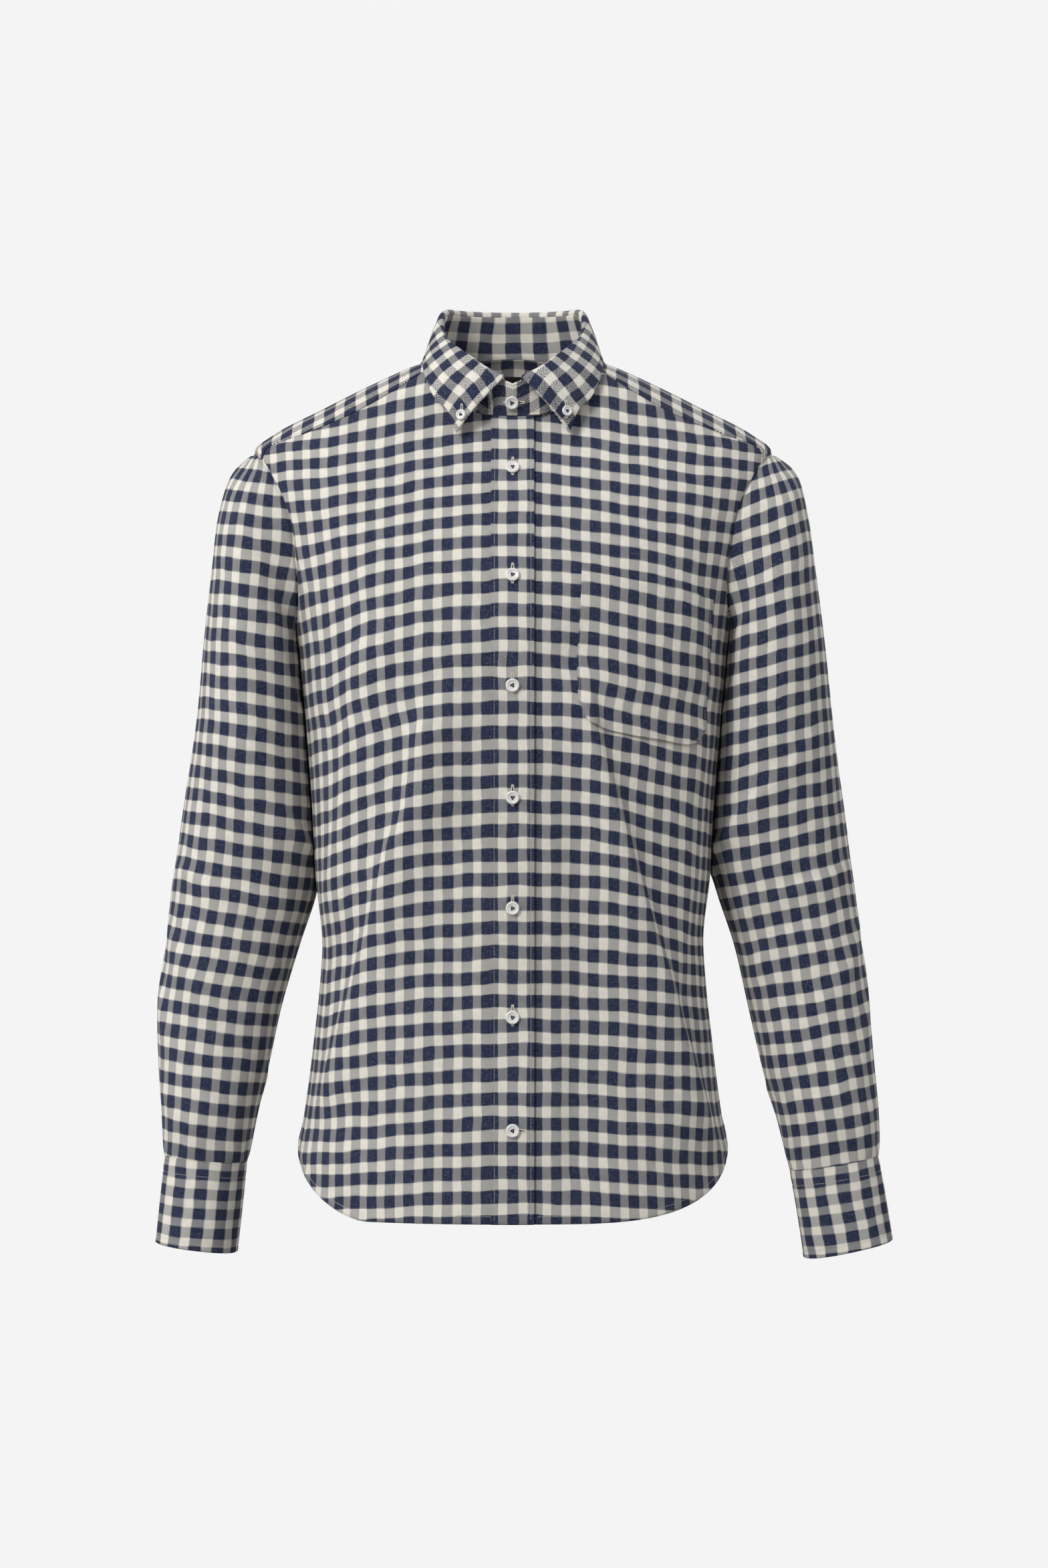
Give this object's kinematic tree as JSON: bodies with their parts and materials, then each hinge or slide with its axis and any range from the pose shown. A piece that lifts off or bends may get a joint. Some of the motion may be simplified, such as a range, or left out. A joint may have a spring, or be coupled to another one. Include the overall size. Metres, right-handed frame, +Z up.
{
  "type": "flannel shirt",
  "caption": "Man's long-sleeved shirt of brushed twill in a two-colour check, with a button-down collar, chest pocket and curved hem, filled out as worn.",
  "frame": {"origin": "middle of the neck opening, level with the points where the shoulders meet the collar", "axes": "+Z up to the head, -Y the way the shirt faces, +X to the wearer's left"},
  "size_m": [0.6264, 0.2535, 0.8105],
  "materials": {
    "flannel": "brushed herringbone twill checked in navy and cream",
    "button": "pearly white with a raised rim",
    "label": "plain black woven tape"
  },
  "bodies": {
    "root": {"front_right": "flannel", "front_left": "flannel", "front_placket": "flannel", "back": "flannel", "yoke": "flannel", "collar_stand": "flannel", "collar_fall": "flannel", "sleeve_right": "flannel", "sleeve_left": "flannel", "cuff_right": "flannel", "cuff_left": "flannel", "sleeve_placket_right": "flannel", "sleeve_placket_left": "flannel", "chest_pocket": "flannel", "placket_button_1": "button", "placket_button_2": "button", "placket_button_3": "button", "placket_button_4": "button", "placket_button_5": "button", "placket_button_6": "button", "placket_button_7": "button", "stand_button": "button", "collar_button_left": "button", "collar_button_right": "button", "cuff_button_right": "button", "cuff_button_left": "button", "neck_label": "label"}
  },
  "joints": []
}
